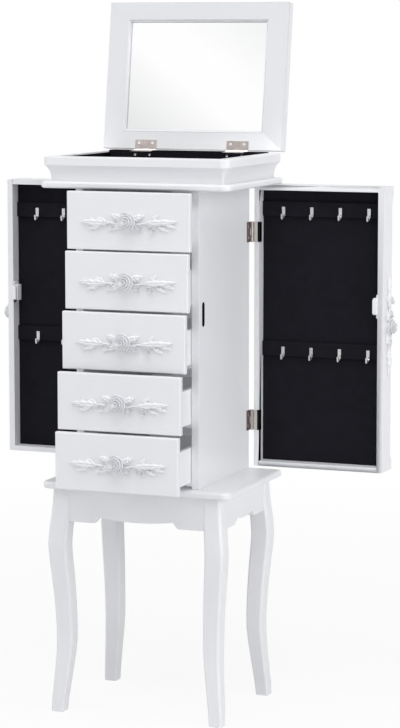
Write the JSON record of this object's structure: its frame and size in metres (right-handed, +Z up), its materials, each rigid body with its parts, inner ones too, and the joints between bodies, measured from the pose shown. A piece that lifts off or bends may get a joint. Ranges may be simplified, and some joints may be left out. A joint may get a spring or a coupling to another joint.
{
  "type": "jewelry cabinet",
  "caption": "White standing jewelry cabinet on cabriole legs with carved drawers, hinged side doors with necklace hooks, and a mirror lid over a felt tray.",
  "frame": {"origin": "on the floor, in the middle of the four feet", "axes": "+Z up, +X to the cabinet's right side as seen from the front, front faces -Y"},
  "size_m": [0.6792, 0.3836, 1.1064],
  "materials": {
    "white_paint": "satin white paint over board",
    "plain_wood": "unpainted softwood",
    "black_felt": "short black felt",
    "mirror_glass": "silvered glass",
    "nickel": "plated steel",
    "bright_steel": "bright plating",
    "white_plastic": "moulded white plastic"
  },
  "bodies": {
    "cabinet": {"apron_front": "white_paint", "apron_left": "white_paint", "apron_rear": "white_paint", "apron_right": "white_paint", "back_panel": "white_paint", "base_board": "white_paint", "corner_blocks": "plain_wood", "cornice_board": "white_paint", "crown_back": "white_paint", "crown_front": "white_paint", "crown_left": "white_paint", "crown_right": "white_paint", "door_hinge_fixed": "nickel", "drawer_runners": "white_paint", "hinge_pins": "nickel", "leg_front_left": "white_paint", "leg_front_right": "white_paint", "leg_rear_left": "white_paint", "leg_rear_right": "white_paint", "lid_hinge_fixed": "nickel", "side_panel_left": "white_paint", "side_panel_right": "white_paint", "strike_plates": "nickel", "tray_lining": "black_felt"},
    "lid": {"lid_frame": "white_paint", "lid_hinge_leaves": "nickel", "lid_mirror": "mirror_glass", "lid_panel": "white_paint"},
    "door_left": {"door_left_carving": "white_paint", "door_left_catch": "white_plastic", "door_left_frame": "white_paint", "door_left_hinge_leaves": "nickel", "door_left_hook_bars": "black_felt", "door_left_hooks": "bright_steel", "door_left_lining": "black_felt", "door_left_panel": "white_paint"},
    "door_right": {"door_right_carving": "white_paint", "door_right_catch": "white_plastic", "door_right_frame": "white_paint", "door_right_hinge_leaves": "nickel", "door_right_hook_bars": "black_felt", "door_right_hooks": "bright_steel", "door_right_lining": "black_felt", "door_right_panel": "white_paint"},
    "drawer_1": {"drawer_1_box": "white_paint", "drawer_1_carving": "white_paint", "drawer_1_front": "white_paint"},
    "drawer_2": {"drawer_2_box": "white_paint", "drawer_2_carving": "white_paint", "drawer_2_front": "white_paint"},
    "drawer_3": {"drawer_3_box": "white_paint", "drawer_3_carving": "white_paint", "drawer_3_front": "white_paint"},
    "drawer_4": {"drawer_4_box": "white_paint", "drawer_4_carving": "white_paint", "drawer_4_front": "white_paint"},
    "drawer_5": {"drawer_5_box": "white_paint", "drawer_5_carving": "white_paint", "drawer_5_front": "white_paint"}
  },
  "joints": [
    {"name": "lid_turn", "type": "hinge", "parent": "cabinet", "child": "lid", "pos_m": [0, 0.1223, 0.871], "axis": [1, 0, 0], "range_deg": [0, 98.5]},
    {"name": "door_right_turn", "type": "hinge", "parent": "cabinet", "child": "door_right", "pos_m": [0.1045, 0.1221, 0.594], "axis": [0, 0, 1], "range_deg": [-90, 20]},
    {"name": "door_left_turn", "type": "hinge", "parent": "cabinet", "child": "door_left", "pos_m": [-0.1045, 0.1221, 0.594], "axis": [0, 0, -1], "range_deg": [-90, 20]},
    {"name": "drawer_1_slide", "type": "slide", "parent": "cabinet", "child": "drawer_1", "axis": [0, -1, 0], "range_m": [-0.025, 0.125]},
    {"name": "drawer_2_slide", "type": "slide", "parent": "cabinet", "child": "drawer_2", "axis": [0, -1, 0], "range_m": [-0.033, 0.117]},
    {"name": "drawer_3_slide", "type": "slide", "parent": "cabinet", "child": "drawer_3", "axis": [0, -1, 0], "range_m": [-0.045, 0.105]},
    {"name": "drawer_4_slide", "type": "slide", "parent": "cabinet", "child": "drawer_4", "axis": [0, -1, 0], "range_m": [-0.064, 0.086]},
    {"name": "drawer_5_slide", "type": "slide", "parent": "cabinet", "child": "drawer_5", "axis": [0, -1, 0], "range_m": [-0.074, 0.076]}
  ]
}
